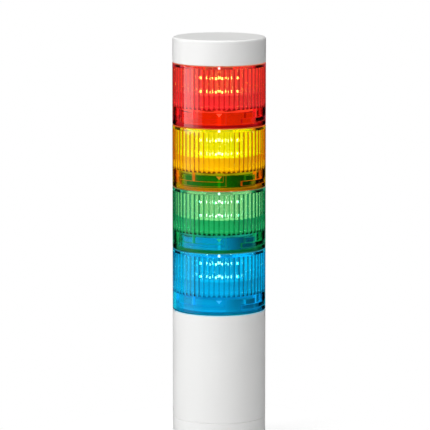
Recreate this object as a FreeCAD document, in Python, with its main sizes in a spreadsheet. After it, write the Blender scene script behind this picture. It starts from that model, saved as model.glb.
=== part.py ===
"""Modular signal tower: a direct-mount base, four coloured light tiers and a cap.

Every tier, and the cap, hangs on the neck of the piece below by the same bayonet: four lugs on
the neck, four ledges inside the skirt.  A counter-clockwise twist frees a tier.

Frame: millimetres, +Z up along the tower's axis, origin at the centre of the mounting face.
The front, where the index marks line up, faces -Y.
"""

import FreeCAD, Part
import math
import os
import Sketcher
from FreeCAD import Placement, Rotation, Vector

doc = FreeCAD.newDocument("signal_tower")

# ---------------------------------------------------------------------------- driving sizes

SIZES = [
    # overall
    ("body_diameter", 60.0),
    ("tier_pitch", 40.0),
    ("base_height", 90.0),
    ("cup_height", 20.0),
    ("cap_head", 6.5),
    # walls and edges
    ("lens_wall", 2.0),
    ("case_wall", 2.5),
    ("neck_wall", 1.8),
    ("top_wall", 2.2),
    ("edge_break", 0.4),
    ("cap_round", 1.6),
    # clearances
    ("tier_gap", 0.3),
    ("run_gap", 0.35),
    ("seat_gap", 0.1),
    # bayonet
    ("neck_step", 2.4),
    ("neck_lip", 0.3),
    ("floor_gap", 2.0),
    ("lug_count", 4),
    ("lug_angle", 16.0),
    ("lug_height", 3.2),
    ("ledge_lead", 6.0),
    ("ledge_height", 3.0),
    ("entry_gap", 3.0),
    ("stop_angle", 1.5),
    ("stop_gap", 0.5),
    ("wall_angle", 3.5),
    # lens prisms
    ("rib_count", 56),
    ("rib_reach", 0.5),
    ("rib_cover", 0.92),
    # seal
    ("seal_height", 2.2),
    ("seal_round", 0.5),
    ("seal_clear", 1.0),
    # light engine
    ("floor_wall", 1.6),
    ("collar_radius", 21.0),
    ("collar_wall", 2.6),
    ("collar_height", 7.0),
    ("sleeve_wall", 1.5),
    ("lip_height", 1.2),
    ("core_flat", 7.0),
    ("core_bore", 6.2),
    ("led_faces", 6),
    ("led_board_wall", 0.8),
    ("led_board_inset", 1.0),
    ("led_edge", 7.4),
    ("led_row_step", 8.7),
    ("led_side", 4.0),
    ("led_depth", 1.0),
    ("led_dome", 1.5),
    # contacts
    ("contact_count", 6),
    ("strip_wall", 0.5),
    ("strip_width", 3.0),
    ("riser_radius", 5.5),
    ("pad_radius", 15.0),
    ("pad_width", 4.0),
    ("pad_angle", 36.0),
    ("finger_reach", 5.0),
    ("plate_wall", 3.5),
    ("plate_centre", 2.5),
    ("plate_rim_wall", 2.0),
    ("plate_rim_depth", 9.0),
    ("key_width", 1.4),
    ("key_reach", 1.2),
    ("hub_wall", 2.4),
    # index marks
    ("mark_raise", 0.25),
    ("mark_root", 0.6),
    ("arrow_width", 3.6),
    ("arrow_height", 2.2),
    ("arrow_place", 9.0),
    ("dot_radius", 0.8),
    # base casing
    ("gasket_wall", 1.5),
    ("gasket_inset", 0.8),
    ("floor_thickness", 3.0),
    ("spigot_rise", 4.0),
    ("spigot_wall", 2.0),
    ("spigot_root", 4.0),
    ("bolt_count", 3),
    ("boss_radius", 4.2),
    ("boss_gap", 0.2),
    ("boss_roof", 2.5),
    ("insert_radius", 2.8),
    ("insert_bore", 1.65),
    ("insert_length", 8.0),
    ("bolt_overrun", 1.5),
    ("gasket_hole", 2.3),
    ("screw_radius", 1.25),
    ("screw_head_radius", 2.5),
    ("screw_head_height", 1.9),
    ("screw_grip", 9.0),
    ("recess_width", 0.8),
    ("recess_span", 2.8),
    ("recess_depth", 1.1),
    ("web_width", 3.0),
    # cable grommet
    ("cable_bore", 3.3),
    ("grommet_groove", 6.0),
    ("grommet_flange", 8.0),
    ("grommet_foot", 6.8),
    ("grommet_nose", 5.0),
    ("grommet_lip", 1.5),
    ("grommet_drop", 1.0),
    ("grommet_rise", 10.0),
    # control board
    ("board_edge_gap", 3.8),
    ("board_wall", 1.6),
    ("board_lift", 3.0),
    ("board_face", 6.0),
    ("rail_reach", 1.4),
    ("rail_wall", 1.7),
    ("socket_height", 9.0),
    ("socket_overlap", 7.0),
    ("part_gap", 2.0),
    ("can_radius", 4.0),
    ("can_height", 9.0),
    ("can_edge", 0.6),
    ("chip_length", 10.0),
    ("chip_width", 4.0),
    ("chip_height", 2.0),
    ("transistor_side", 3.0),
    ("transistor_height", 1.2),
    # terminals
    ("terminal_margin", 3.76),
    ("terminal_end", 1.0),
    ("terminal_height", 11.0),
    ("terminal_depth", 11.0),
    ("terminal_lift", 2.0),
    ("terminal_wall", 0.74),
    ("wire_wall", 0.94),
    ("wire_depth", 5.0),
    ("well_edge", 1.2),
    ("well_depth", 3.0),
    ("clamp_screw_length", 2.5),
]

sheet = doc.addObject("Spreadsheet::Sheet", "sizes")
for row, (alias, value) in enumerate(SIZES, start=1):
    sheet.set(f"A{row}", alias.replace("_", " "))
    sheet.set(f"B{row}", str(value))
    sheet.setAlias(f"B{row}", alias)
doc.recompute()


class Size:
    """A length, angle or count that knows both its value and the expression that gives it."""

    def __init__(self, text, value):
        self.text = text
        self.value = value

    def joined(self, other, sign, value, swap=False):
        first, second = self.text, as_size(other).text
        if swap:
            first, second = second, first
        return Size(f"({first} {sign} {second})", value)

    def __add__(self, other):
        return self.joined(other, "+", self.value + as_size(other).value)

    def __sub__(self, other):
        return self.joined(other, "-", self.value - as_size(other).value)

    def __rsub__(self, other):
        return self.joined(other, "-", as_size(other).value - self.value, swap=True)

    def __mul__(self, other):
        return self.joined(other, "*", self.value * as_size(other).value)

    def __truediv__(self, other):
        return self.joined(other, "/", self.value / as_size(other).value)

    def __rtruediv__(self, other):
        return self.joined(other, "/", as_size(other).value / self.value, swap=True)

    def __neg__(self):
        return Size(f"(0 - {self.text})", -self.value)

    def root(self):
        return Size(f"sqrt({self.text})", self.value**0.5)

    __radd__ = __add__
    __rmul__ = __mul__


def as_size(number):
    """A plain number as a Size, so that the two mix freely."""
    return number if isinstance(number, Size) else Size(repr(number), number)


def cell(alias):
    """The sheet's cell of that alias."""
    return Size(f"sizes.{alias}", float(sheet.get(alias)))


# ------------------------------------------------------------------ sizes worked out from them

outer = cell("body_diameter") / 2
socket = outer - cell("lens_wall")
neck = socket - cell("neck_step")
neck_bore = neck - cell("neck_wall")
lug_tip = socket - cell("run_gap")
ledge_tip = neck + cell("run_gap")
rib_tip = socket - cell("rib_reach")
gap = cell("tier_gap")
chip = cell("edge_break")
seat_gap = cell("seat_gap")
pitch = cell("tier_pitch")

# heights of the joint between two tiers, from the shoulder of the lower one
ledge_base = cell("seal_height") + cell("seal_clear")
ledge_top = ledge_base + cell("ledge_height")
lug_base = ledge_top + gap
neck_rise = lug_base + cell("lug_height") + cell("neck_lip")
skirt_roof = neck_rise + cell("floor_gap")

# angles of the joint, from the +X axis
lug_turn = 180 / cell("lug_count")
ledge_angle = 360 / cell("lug_count") - cell("lug_angle") - 2 * cell("entry_gap")
ledge_start = lug_turn - cell("lug_angle") / 2 - cell("ledge_lead")
ledge_end = ledge_start + ledge_angle
stop_turn = lug_turn + cell("lug_angle") / 2 + cell("stop_gap") + cell("stop_angle") / 2

# light engine
lens_roof = pitch - cell("top_wall")
holder_floor = skirt_roof + cell("floor_wall")
collar_top = holder_floor + cell("collar_height")
led_board_foot = holder_floor + cell("led_board_inset")
led_board_top = lens_roof - cell("led_board_inset")
led_board_flat = cell("core_flat") + cell("led_board_wall")
led_high = lens_roof - cell("led_edge")
led_low = led_high - cell("led_row_step")

# contact plate and strips
neck_top = pitch + neck_rise
plate_radius = neck_bore - seat_gap
plate_under = neck_top - cell("plate_wall")
hub_radius = cell("core_bore") + cell("hub_wall")
pad_outer = cell("pad_radius") + cell("pad_width") / 2
pad_inner = cell("pad_radius") - cell("pad_width") / 2
finger_low = neck_rise + cell("run_gap")

# base casing
case_bore = outer - cell("case_wall")
cup_floor = cell("gasket_wall") + cell("floor_thickness")
spigot = case_bore - seat_gap
bolt_radius = spigot - cell("spigot_wall") - cell("boss_radius") - cell("boss_gap")
screw_turn = 180 / cell("bolt_count")
screw_seat = cup_floor + cell("tier_gap")
post_top = cell("cup_height") + cell("screw_grip") + 2 * cell("screw_radius")

# control board, which hangs below the base's own contact plate
base_lift = cell("base_height") - pitch
socket_top = base_lift + lens_roof
socket_foot = socket_top - cell("socket_height")
board_half = neck_bore - cell("board_edge_gap")
board_back = cell("board_face") + cell("board_wall")
board_base = post_top + cell("board_lift")
board_top = socket_foot + cell("socket_overlap")
terminal_half = board_half - cell("terminal_margin")
terminal_pitch = 2 * (terminal_half - cell("terminal_end")) / cell("contact_count")
first_terminal = terminal_pitch / 2 + cell("terminal_end") - terminal_half
terminal_front = cell("board_face") - cell("terminal_depth")
terminal_foot = board_base + cell("terminal_lift")
terminal_top = terminal_foot + cell("terminal_height")
clamp_screw = terminal_pitch / 2 - cell("terminal_wall")
clamp_height = terminal_top - cell("well_edge") - clamp_screw

# ------------------------------------------------------------------------- modelling helpers


def new_body(name):
    return doc.addObject("PartDesign::Body", name)


def origin_feature(body, role):
    """One of the body's own origin planes or axes."""
    return next(f for f in body.Origin.OriginFeatures if f.Role == role)


def bind(obj, prop, size):
    """Sets a property to a size and ties it to the sheet."""
    if "sizes." in as_size(size).text:
        obj.setExpression(prop, size.text)
    elif not prop.startswith("."):
        setattr(obj, prop, as_size(size).value)


def new_sketch(body, name, plane, lift=0, turn=0):
    """A sketch on an origin plane, lifted off it and turned about the plane's own up axis."""
    sketch = body.newObject("Sketcher::SketchObject", f"{body.Name}_{name}")
    sketch.AttachmentSupport = (origin_feature(body, plane), [""])
    sketch.MapMode = "FlatFace"
    spin = Vector(0, 0, 1) if plane == "XY_Plane" else Vector(0, 1, 0)
    lift, turn = as_size(lift), as_size(turn)
    sketch.AttachmentOffset = Placement(Vector(0, 0, lift.value), Rotation(spin, turn.value))
    bind(sketch, ".AttachmentOffset.Base.z", lift)
    bind(sketch, ".AttachmentOffset.Rotation.Angle", turn)
    return sketch


def tie(sketch, kind, geometry, point, size):
    """Fixes a point's x or y from the sketch's origin, and names it after where it is."""
    size = as_size(size)
    if abs(size.value) < 1e-9:
        axis = -2 if kind == "DistanceX" else -1
        sketch.addConstraint(Sketcher.Constraint("PointOnObject", geometry, point, axis))
        return
    ends = (-1, 1, geometry, point) if size.value > 0 else (geometry, point, -1, 1)
    length = size if size.value > 0 else -size
    number = sketch.addConstraint(Sketcher.Constraint(kind, *ends, length.value))
    if "sizes." in length.text:
        sketch.setExpression(f"Constraints[{number}]", length.text)


def outline(body, name, plane, points, lift=0, turn=0):
    """A closed polygon sketch with every corner tied to the sheet."""
    sketch = new_sketch(body, name, plane, lift, turn)
    spots = [Vector(as_size(x).value, as_size(y).value, 0) for x, y in points]
    count = len(points)
    for n in range(count):
        sketch.addGeometry(Part.LineSegment(spots[n], spots[(n + 1) % count]), False)
    for n in range(count):
        sketch.addConstraint(Sketcher.Constraint("Coincident", n, 2, (n + 1) % count, 1))
    for n, (x, y) in enumerate(points):
        tie(sketch, "DistanceX", n, 1, x)
        tie(sketch, "DistanceY", n, 1, y)
    return sketch


def box_outline(body, name, plane, x, y, lift=0, turn=0):
    """A rectangle from x[0] to x[1] and y[0] to y[1]."""
    corners = [(x[0], y[0]), (x[1], y[0]), (x[1], y[1]), (x[0], y[1])]
    return outline(body, name, plane, corners, lift, turn)


def circles(body, name, plane, spots, lift=0, turn=0):
    """Circles (x, y, radius), each with its place and radius tied to the sheet."""
    sketch = new_sketch(body, name, plane, lift, turn)
    for n, (x, y, radius) in enumerate(spots):
        centre = Vector(as_size(x).value, as_size(y).value, 0)
        radius = as_size(radius)
        sketch.addGeometry(Part.Circle(centre, Vector(0, 0, 1), radius.value), False)
        tie(sketch, "DistanceX", n, 3, x)
        tie(sketch, "DistanceY", n, 3, y)
        number = sketch.addConstraint(Sketcher.Constraint("Radius", n, radius.value))
        if "sizes." in radius.text:
            sketch.setExpression(f"Constraints[{number}]", radius.text)
    return sketch


def feature(body, kind, sketch, **sizes):
    """A PartDesign feature on a sketch, which becomes the body's tip."""
    made = body.newObject(f"PartDesign::{kind}", f"{sketch.Name}_{kind}")
    made.Profile = sketch
    for prop, size in sizes.items():
        if isinstance(size, bool):
            setattr(made, prop, size)
        else:
            bind(made, prop, size)
    body.Tip = made
    sketch.Visibility = False
    return made


def turned(body, sketch, angle=None, cut=False):
    """A full or partial turn of a sketch about the tower's axis, half to each side of it."""
    made = feature(body, "Groove" if cut else "Revolution", sketch)
    made.ReferenceAxis = (sketch, ["V_Axis"])
    if angle is None:
        made.Angle = 360
    else:
        made.Midplane = True
        bind(made, "Angle", angle)
    return made


def around(body, originals, count, name):
    """The same features repeated evenly about the axis."""
    made = body.newObject("PartDesign::PolarPattern", f"{body.Name}_{name}")
    made.Originals = originals
    made.Axis = (origin_feature(body, "Z_Axis"), [""])
    made.Angle = 360
    bind(made, "Occurrences", count)
    body.Tip = made
    return made


def sector(body, name, radii, heights, angle, turn, cut=False):
    """A block of ring between two radii, two heights and an angle, centred on turn."""
    sketch = box_outline(body, name, "XZ_Plane", radii, heights, turn=turn)
    return turned(body, sketch, angle, cut)


# --------------------------------------------------------------------------- shared features


def add_lugs(body, top):
    """The four bayonet lugs on a neck whose shoulder is at height top."""
    lug = sector(
        body,
        "lug",
        (neck - cell("neck_wall") / 2, lug_tip),
        (top + lug_base, top + lug_base + cell("lug_height")),
        cell("lug_angle"),
        lug_turn,
    )
    return around(body, [lug], cell("lug_count"), "lugs")


def add_ledges(body):
    """The skirt's ledges that hook under the lugs, with a lock stop and an end wall each."""
    root = socket + cell("lens_wall") / 2
    ledge = sector(
        body,
        "ledge",
        (ledge_tip, root),
        (ledge_base, ledge_top),
        ledge_angle,
        ledge_start + ledge_angle / 2,
    )
    stop = sector(
        body,
        "stop",
        (ledge_tip, root),
        (ledge_top - cell("ledge_height") / 2, skirt_roof),
        cell("stop_angle"),
        stop_turn,
    )
    wall = sector(
        body,
        "end_wall",
        (ledge_tip, root),
        (ledge_top - cell("ledge_height") / 2, skirt_roof),
        cell("wall_angle"),
        ledge_end - cell("wall_angle") / 2,
    )
    return around(body, [ledge, stop, wall], cell("lug_count"), "ledges")


def add_key(body, foot, top):
    """An upright key inside the front of a neck, which keeps the contact plate from turning."""
    half = cell("key_width") / 2
    depth = (-(neck_bore + cell("neck_wall") / 2), -(neck_bore - cell("key_reach")))
    sketch = box_outline(body, "key", "XY_Plane", (-half, half), depth, lift=foot)
    return feature(body, "Pad", sketch, Length=top - foot)


def add_dot(body, top):
    """A raised index dot at the front of a shoulder's edge."""
    sketch = circles(
        body,
        "dot",
        "XZ_Plane",
        [(0, top - chip / 2 - cell("dot_radius"), cell("dot_radius"))],
        lift=outer - cell("mark_root"),
    )
    return feature(body, "Pad", sketch, Length=cell("mark_root") + cell("mark_raise"))


def add_arrow(body):
    """A raised index arrow at the front of a skirt, pointing down at the dot below."""
    half = cell("arrow_width") / 2
    high = cell("arrow_place") + cell("arrow_height") / 2
    low = cell("arrow_place") - cell("arrow_height") / 2
    sketch = outline(
        body,
        "arrow",
        "XZ_Plane",
        [(-half, high), (0, low), (half, high)],
        lift=outer - cell("mark_root"),
    )
    return feature(body, "Pad", sketch, Length=cell("mark_root") + cell("mark_raise"))


# -------------------------------------------------------------------------------- tier pieces


def make_lens():
    """A tier's coloured globe: skirt, ribbed barrel, shoulder and neck in one moulding."""
    body = new_body("lens")
    profile = outline(
        body,
        "wall",
        "XZ_Plane",
        [
            (socket, gap + chip),
            (socket + chip, gap),
            (outer - chip, gap),
            (outer, gap + chip),
            (outer, pitch - chip),
            (outer - chip, pitch),
            (neck, pitch),
            (neck, neck_top - chip),
            (neck - chip, neck_top),
            (neck_bore, neck_top),
            (neck_bore, lens_roof),
            (socket, lens_roof),
        ],
    )
    turned(body, profile)
    add_ribs(body)
    add_lugs(body, pitch)
    add_key(body, lens_roof, neck_top)
    add_ledges(body)
    add_dot(body, pitch)
    add_arrow(body)
    return body


def add_ribs(body):
    """Upright half-round prisms that line the barrel, with a valley at the very front."""
    half = cell("rib_cover") * math.pi * socket / cell("rib_count")
    reach = cell("rib_reach")
    radius = (half * half + reach * reach) / (2 * reach)
    centre = rib_tip + radius
    root = socket + cell("lens_wall") / 4
    rise = (radius * radius - (centre - root) * (centre - root)).root()
    turn = 180 / cell("rib_count")
    sketch = new_sketch(body, "rib", "XY_Plane", lift=skirt_roof, turn=turn)
    top = Vector(root.value, rise.value, 0)
    foot = Vector(root.value, -rise.value, 0)
    tip = Vector(rib_tip.value, 0, 0)
    sketch.addGeometry(Part.Arc(top, tip, foot), False)
    sketch.addGeometry(Part.LineSegment(foot, top), False)
    sketch.addConstraint(Sketcher.Constraint("Coincident", 0, 1, 1, 2))
    sketch.addConstraint(Sketcher.Constraint("Coincident", 0, 2, 1, 1))
    sketch.addConstraint(Sketcher.Constraint("PointOnObject", 0, 3, -1))
    tie(sketch, "DistanceX", 0, 3, centre)
    tie(sketch, "DistanceX", 1, 1, root)
    tie(sketch, "DistanceX", 1, 2, root)
    number = sketch.addConstraint(Sketcher.Constraint("Radius", 0, radius.value))
    sketch.setExpression(f"Constraints[{number}]", radius.text)
    rib = feature(body, "Pad", sketch, Length=lens_roof - skirt_roof)
    return around(body, [rib], cell("rib_count"), "ribs")


def make_sleeve():
    """The clear inner lens that stands round the lamps on the holder's collar."""
    body = new_body("inner_lens")
    skin = cell("collar_radius") - seat_gap
    bore = skin - cell("sleeve_wall")
    profile = box_outline(body, "wall", "XZ_Plane", (bore, skin), (collar_top, lens_roof))
    turned(body, profile)
    return body


def make_holder():
    """The white carrier: a floor across the lens, a collar for the sleeve, a six-sided core."""
    body = new_body("holder")
    collar_inner = cell("collar_radius") - cell("collar_wall")
    lip = cell("collar_radius") - cell("sleeve_wall") - 2 * seat_gap
    profile = outline(
        body,
        "floor",
        "XZ_Plane",
        [
            (cell("core_bore"), skirt_roof),
            (rib_tip - seat_gap, skirt_roof),
            (rib_tip - seat_gap, holder_floor),
            (cell("collar_radius"), holder_floor),
            (cell("collar_radius"), collar_top),
            (lip, collar_top),
            (lip, collar_top + cell("lip_height")),
            (collar_inner, collar_top + cell("lip_height")),
            (collar_inner, holder_floor),
            (cell("core_bore"), holder_floor),
        ],
    )
    turned(body, profile)
    core = hexagon(body, "core", cell("core_flat"), holder_floor)
    feature(body, "Pad", core, Length=lens_roof - holder_floor)
    bore = circles(body, "bore", "XY_Plane", [(0, 0, cell("core_bore"))], lift=lens_roof)
    feature(body, "Pocket", bore, Length=lens_roof - skirt_roof)
    return body


def hexagon(body, name, flat, lift):
    """A regular hexagon with one flat to the front, flat being the centre-to-flat distance."""
    half = flat / 3**0.5
    corner = 2 * half
    points = [(corner, 0), (half, flat), (-half, flat), (-corner, 0), (-half, -flat), (half, -flat)]
    return outline(body, name, "XY_Plane", points, lift=lift)


def make_led_board():
    """The folded circuit board wrapped round the holder's core."""
    body = new_body("led_board")
    height = led_board_top - led_board_foot
    skin = hexagon(body, "skin", led_board_flat, led_board_foot)
    feature(body, "Pad", skin, Length=height)
    core = hexagon(body, "core", cell("core_flat"), led_board_top)
    feature(body, "Pocket", core, Length=height)
    return body


DOME_TAPER = -35


def make_leds():
    """Two rows of domed lamps, one lamp on each face of the folded board in each row."""
    body = new_body("leds")
    half = cell("led_side") / 2
    rim = led_board_flat + cell("led_depth")
    originals = []
    for name, height in (("low", led_low), ("high", led_high)):
        case = box_outline(
            body,
            f"{name}_case",
            "XZ_Plane",
            (-half, half),
            (height - half, height + half),
            lift=led_board_flat,
        )
        originals.append(feature(body, "Pad", case, Length=cell("led_depth")))
        dome = circles(body, f"{name}_dome", "XZ_Plane", [(0, height, cell("led_dome"))], lift=rim)
        originals.append(feature(body, "Pad", dome, Length=cell("led_dome") / 2))
        originals[-1].TaperAngle = DOME_TAPER
    around(body, originals, cell("led_faces"), "faces")
    return body


def add_pad_seats(body):
    """Slots, channels and arc-shaped seats that the contact strips drop into."""
    slot_half = cell("strip_wall") / 2 + seat_gap
    half = cell("strip_width") / 2 + seat_gap
    inner = cell("riser_radius") - slot_half
    reach = cell("riser_radius") + slot_half
    slot = box_outline(body, "slot", "XY_Plane", (inner, reach), (-half, half), lift=neck_top)
    reach = pad_inner + seat_gap
    channel = box_outline(body, "channel", "XY_Plane", (inner, reach), (-half, half), lift=neck_top)
    cuts = [
        feature(body, "Pocket", slot, Length=cell("plate_centre")),
        feature(body, "Pocket", channel, Length=cell("strip_wall")),
        sector(
            body,
            "arc",
            (pad_inner - seat_gap, pad_outer + seat_gap),
            (neck_top - cell("strip_wall"), neck_top + cell("strip_wall")),
            cell("pad_angle") + cell("stop_gap"),
            0,
            cut=True,
        ),
    ]
    return around(body, cuts, cell("contact_count"), "seats")


def make_contact_plate():
    """The plate that closes a neck and carries the contact pads, notched for the neck's key."""
    body = new_body("contact_plate")
    rim = plate_radius - cell("plate_rim_wall")
    profile = outline(
        body,
        "plate",
        "XZ_Plane",
        [
            (0, neck_top - cell("plate_centre")),
            (cell("core_bore"), neck_top - cell("plate_centre")),
            (cell("core_bore"), lens_roof),
            (hub_radius, lens_roof),
            (hub_radius, plate_under),
            (rim, plate_under),
            (rim, neck_top - cell("plate_rim_depth")),
            (plate_radius, neck_top - cell("plate_rim_depth")),
            (plate_radius, neck_top),
            (0, neck_top),
        ],
    )
    turned(body, profile)
    half = cell("key_width") / 2 + seat_gap
    depth = (-(neck_bore + seat_gap), -(neck_bore - cell("key_reach") - seat_gap))
    notch = box_outline(body, "notch", "XY_Plane", (-half, half), depth, lift=neck_top)
    feature(body, "Pocket", notch, Length=cell("plate_rim_depth"))
    add_pad_seats(body)
    return body


def add_pad(body):
    """The arc-shaped pad at the outer end of a contact strip."""
    return sector(
        body,
        "pad",
        (pad_inner, pad_outer),
        (neck_top - cell("strip_wall"), neck_top),
        cell("pad_angle"),
        0,
    )


def strip_head():
    """The strip's corners from its riser over to the pad, shared by tiers and base."""
    half = cell("strip_wall") / 2
    return [
        (cell("riser_radius") + half, neck_top - cell("strip_wall")),
        (pad_inner + half, neck_top - cell("strip_wall")),
        (pad_inner + half, neck_top),
        (cell("riser_radius") - half, neck_top),
    ]


def make_contacts():
    """Bent brass strips: a pad on top, a riser through the core, a bowed finger underneath."""
    body = new_body("contacts")
    wall = cell("strip_wall")
    inner = cell("riser_radius") - wall / 2
    clamp = cell("pad_radius") - cell("finger_reach")
    tail = pad_outer + wall
    under = skirt_roof - wall
    profile = outline(
        body,
        "strip",
        "XZ_Plane",
        [
            (inner, under),
            (clamp, under),
            (cell("pad_radius"), finger_low),
            (tail, finger_low + 2 * wall),
            (tail, finger_low + 3 * wall),
            (cell("pad_radius"), finger_low + wall),
            (clamp, skirt_roof),
            (inner + wall, skirt_roof),
        ]
        + strip_head(),
    )
    strip = feature(body, "Pad", profile, Length=cell("strip_width"), Midplane=True)
    around(body, [strip, add_pad(body)], cell("contact_count"), "strips")
    return body


def make_seal():
    """The rubber ring at the foot of a neck."""
    body = new_body("seal")
    soft = cell("seal_round")
    high = pitch + cell("seal_height")
    profile = outline(
        body,
        "ring",
        "XZ_Plane",
        [
            (neck, pitch),
            (lug_tip - soft, pitch),
            (lug_tip, pitch + soft),
            (lug_tip, high - soft),
            (lug_tip - soft, high),
            (neck, high),
        ],
    )
    turned(body, profile)
    return body


# --------------------------------------------------------------------------------------- cap


def make_cap():
    """The white cap that closes the top tier."""
    body = new_body("cover")
    top = neck_rise + cell("cap_head")
    ceiling = top - cell("case_wall")
    profile = outline(
        body,
        "wall",
        "XZ_Plane",
        [
            (socket, gap + chip),
            (socket + chip, gap),
            (outer - chip, gap),
            (outer, gap + chip),
            (outer, top),
            (0, top),
            (0, ceiling),
            (socket, ceiling),
        ],
    )
    shell = turned(body, profile)
    doc.recompute()
    rim = [
        f"Edge{n}"
        for n, edge in enumerate(shell.Shape.Edges, start=1)
        if abs(edge.BoundBox.ZMin - top.value) < 1e-6 and edge.BoundBox.XMax > outer.value - 1e-3
    ]
    rounding = body.newObject("PartDesign::Fillet", "cover_round")
    rounding.Base = (shell, rim)
    bind(rounding, "Radius", cell("cap_round"))
    body.Tip = rounding
    for name, turn in (("across", 0), ("along", 90)):
        rib = box_outline(
            body,
            f"rib_{name}",
            "XZ_Plane",
            (-socket - cell("lens_wall") / 2, socket + cell("lens_wall") / 2),
            (skirt_roof, ceiling + cell("case_wall") / 2),
            turn=turn,
        )
        feature(body, "Pad", rib, Length=cell("floor_wall"), Midplane=True)
    add_ledges(body)
    return body


# -------------------------------------------------------------------------------------- base


def make_base_body():
    """The white casing tube with its neck, board rails and screw posts."""
    body = new_body("base_body")
    foot, top = cell("cup_height"), cell("base_height")
    slope = case_bore - neck_bore
    profile = outline(
        body,
        "wall",
        "XZ_Plane",
        [
            (case_bore, foot),
            (outer - chip, foot),
            (outer, foot + chip),
            (outer, top - chip),
            (outer - chip, top),
            (neck, top),
            (neck, top + neck_rise - chip),
            (neck - chip, top + neck_rise),
            (neck_bore, top + neck_rise),
            (neck_bore, top - cell("top_wall")),
            (case_bore, top - cell("top_wall") - slope),
        ],
    )
    turned(body, profile)
    add_lugs(body, top)
    add_key(body, top - cell("top_wall"), top + neck_rise)
    add_dot(body, top)
    add_rails(body)
    add_posts(body)
    return body


def add_rails(body):
    """Two rails, slotted from above down to a floor, that hold the control board upright."""
    side = cell("rail_wall")
    rail_foot = board_base - side
    block = box_outline(
        body,
        "rail",
        "XY_Plane",
        (board_half - cell("rail_reach"), case_bore),
        (cell("board_face") - side, board_back + side),
        lift=rail_foot,
    )
    rail = feature(body, "Pad", block, Length=board_top - side - rail_foot)
    slot = box_outline(
        body,
        "rail_slot",
        "XY_Plane",
        (board_half - 2 * cell("rail_reach"), board_half + seat_gap),
        (cell("board_face") - seat_gap, board_back + seat_gap),
        lift=board_top,
    )
    cut = feature(body, "Pocket", slot, Length=board_top - board_base)
    pair = body.newObject("PartDesign::Mirrored", "base_body_rails")
    pair.Originals = [rail, cut]
    pair.MirrorPlane = (origin_feature(body, "YZ_Plane"), [""])
    body.Tip = pair
    return pair


def add_posts(body):
    """Screw posts webbed to the wall, each with a blind hole for a casing screw."""
    foot = cell("cup_height")
    clear = foot + cell("spigot_rise") + gap
    radius = cell("boss_radius") - seat_gap
    half = cell("web_width") / 2
    reach = case_bore + cell("case_wall") / 2
    post = circles(body, "post", "XY_Plane", [(bolt_radius, 0, radius)], foot, screw_turn)
    web = box_outline(body, "web", "XY_Plane", (bolt_radius, reach), (-half, half), clear, screw_turn)
    spot = (bolt_radius, 0, cell("screw_radius"))
    pilot = circles(body, "pilot", "XY_Plane", [spot], foot, screw_turn)
    pieces = [
        feature(body, "Pad", post, Length=post_top - foot),
        feature(body, "Pad", web, Length=post_top - clear),
        feature(body, "Pocket", pilot, Length=post_top - foot - cell("screw_radius"), Reversed=True),
    ]
    return around(body, pieces, cell("bolt_count"), "posts")


def make_base_cup():
    """The cup that closes the casing from below, with mounting bosses and a cable hole."""
    body = new_body("base_cup")
    foot, top = cell("gasket_wall"), cell("cup_height")
    rise = top + cell("spigot_rise")
    inner = spigot - cell("spigot_wall")
    root = top - cell("spigot_root")
    profile = outline(
        body,
        "wall",
        "XZ_Plane",
        [
            (cell("grommet_groove"), foot),
            (outer - chip, foot),
            (outer, foot + chip),
            (outer, top - chip),
            (outer - chip, top),
            (spigot, top),
            (spigot, rise - chip),
            (spigot - chip, rise),
            (inner, rise),
            (inner, root),
            (case_bore, root - cell("spigot_wall")),
            (case_bore, cup_floor),
            (cell("grommet_groove"), cup_floor),
        ],
    )
    turned(body, profile)
    boss = [(bolt_radius, 0, cell("boss_radius"))]
    insert = [(bolt_radius, 0, cell("insert_radius"))]
    shank = [(bolt_radius, 0, cell("screw_radius") + seat_gap)]
    head = [(bolt_radius, 0, cell("screw_head_radius") + cell("run_gap"))]
    depth = cell("insert_length") + cell("bolt_overrun")
    short = circles(body, "short_boss", "XY_Plane", boss, foot)
    tall = circles(body, "tall_boss", "XY_Plane", boss, foot, screw_turn)
    pocket = circles(body, "insert_hole", "XY_Plane", insert, foot)
    hole = circles(body, "screw_hole", "XY_Plane", shank, foot, screw_turn)
    sink = circles(body, "head_hole", "XY_Plane", head, foot, screw_turn)
    pieces = [
        feature(body, "Pad", short, Length=depth + cell("boss_roof")),
        feature(body, "Pad", tall, Length=top - foot),
        feature(body, "Pocket", pocket, Length=depth, Reversed=True),
        feature(body, "Pocket", hole, Length=top - foot, Reversed=True),
        feature(body, "Pocket", sink, Length=screw_seat - foot, Reversed=True),
    ]
    around(body, pieces, cell("bolt_count"), "bosses")
    return body


def make_base_screws():
    """Pan-head thread-forming screws that hold the cup to the casing."""
    body = new_body("base_screws")
    foot = screw_seat - cell("screw_head_height")
    tip = cell("cup_height") + cell("screw_grip")
    long, short = cell("recess_span") / 2, cell("recess_width") / 2
    plane = "XY_Plane"
    head = circles(body, "head", plane, [(bolt_radius, 0, cell("screw_head_radius"))], foot, screw_turn)
    shank = circles(body, "shank", plane, [(bolt_radius, 0, cell("screw_radius"))], screw_seat, screw_turn)
    pieces = [
        feature(body, "Pad", head, Length=cell("screw_head_height")),
        feature(body, "Pad", shank, Length=tip - screw_seat),
    ]
    for name, x, y in (("radial", long, short), ("across", short, long)):
        span = (bolt_radius - x, bolt_radius + x)
        cross = box_outline(body, name, plane, span, (-y, y), foot, screw_turn)
        pieces.append(feature(body, "Pocket", cross, Length=cell("recess_depth"), Reversed=True))
    around(body, pieces, cell("bolt_count"), "set")
    return body


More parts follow.
